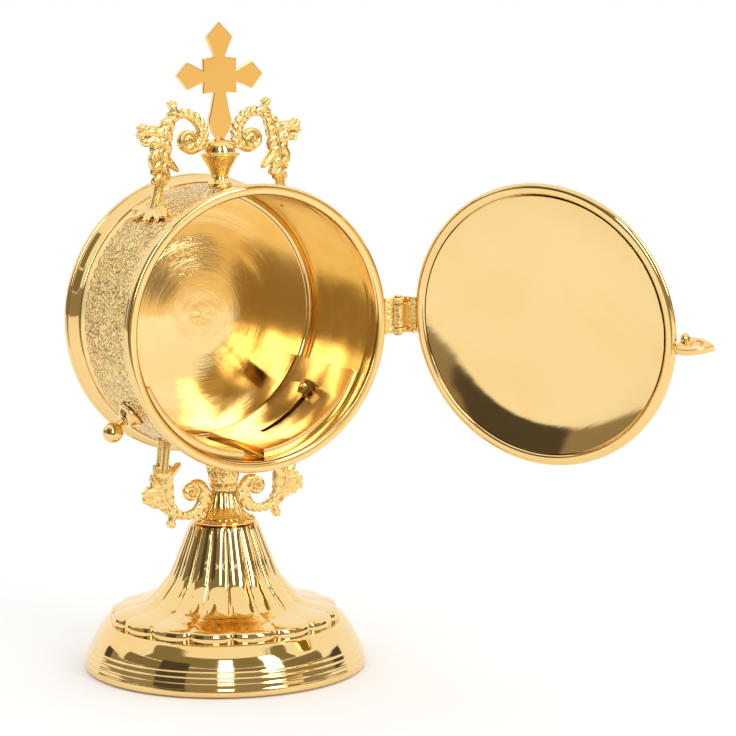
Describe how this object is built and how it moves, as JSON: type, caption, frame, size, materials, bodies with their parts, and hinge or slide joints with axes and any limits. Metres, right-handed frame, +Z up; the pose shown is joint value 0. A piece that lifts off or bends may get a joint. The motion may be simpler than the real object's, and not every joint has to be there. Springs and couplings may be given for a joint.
{
  "type": "luna",
  "caption": "Standing gilt luna: a round open drum with hinged door, back plate and inner cradle, on a fluted bell foot with scroll brackets, crowned by a cross.",
  "frame": {"origin": "middle of the open piece's footprint, on the surface that it stands on", "axes": "+Z up; -Y out of the drum's mouth; +X towards the hinge side"},
  "size_m": [0.171, 0.1778, 0.2281],
  "materials": {
    "polished_gold": "polished gilt brass",
    "cast_gold": "embossed or cast gilt brass, satin with darker recesses",
    "mirror_gold": "mirror-polished gilt sheet"
  },
  "bodies": {
    "stand": {"foot_base": "polished_gold", "foot_bell": "polished_gold", "foot_bead": "polished_gold", "neck": "polished_gold", "neck_collar": "polished_gold", "drum_saddle": "cast_gold", "tie_rod": "polished_gold", "tie_washer": "polished_gold", "tie_nut": "polished_gold", "drum_band": "cast_gold", "front_ring": "polished_gold", "rear_ring": "polished_gold", "back_plate": "mirror_gold", "upper_scroll_left": "cast_gold", "upper_scroll_right": "cast_gold", "lower_scroll_left": "cast_gold", "lower_scroll_right": "cast_gold", "screw_collar_left": "polished_gold", "screw_collar_right": "polished_gold", "screw_spacer_left": "polished_gold", "screw_spacer_right": "polished_gold", "screw_nut_left": "polished_gold", "screw_nut_right": "polished_gold", "finial_urn": "polished_gold", "cross": "mirror_gold", "hinge_leaf_drum": "cast_gold", "hinge_pin": "polished_gold"},
    "door": {"hinge_leaf_door": "cast_gold", "door_rim": "polished_gold", "door_dish": "mirror_gold", "door_tab": "polished_gold"},
    "knob_left": {"knob_left": "polished_gold"},
    "knob_right": {"knob_right": "polished_gold"},
    "cradle_left": {"cradle_leaf_left": "mirror_gold"},
    "cradle_right": {"cradle_leaf_right": "mirror_gold"}
  },
  "joints": [
    {"name": "door_hinge", "type": "hinge", "parent": "stand", "child": "door", "pos_m": [0.01982, 0.01084, 0.1251], "axis": [-0.0319, -0.0547, 0.998], "range_deg": [-120.8, 40]},
    {"name": "screw_left", "type": "hinge", "parent": "stand", "child": "knob_left", "pos_m": [-0.07915, 0.03644, 0.088], "axis": [-0.7716, 0, -0.6361], "range_deg": [0, 360]},
    {"name": "screw_right", "type": "hinge", "parent": "stand", "child": "knob_right", "pos_m": [0.00819, 0.03644, 0.088], "axis": [0.7716, 0, -0.6361], "range_deg": [0, 360]},
    {"name": "cradle_left_shift", "type": "hinge", "parent": "stand", "child": "cradle_left", "pos_m": [-0.03548, 0.03644, 0.124], "axis": [0, 1, 0], "range_deg": [0, 28]},
    {"name": "cradle_right_shift", "type": "hinge", "parent": "stand", "child": "cradle_right", "pos_m": [-0.03548, 0.03644, 0.124], "axis": [0, -1, 0], "range_deg": [0, 28]}
  ]
}
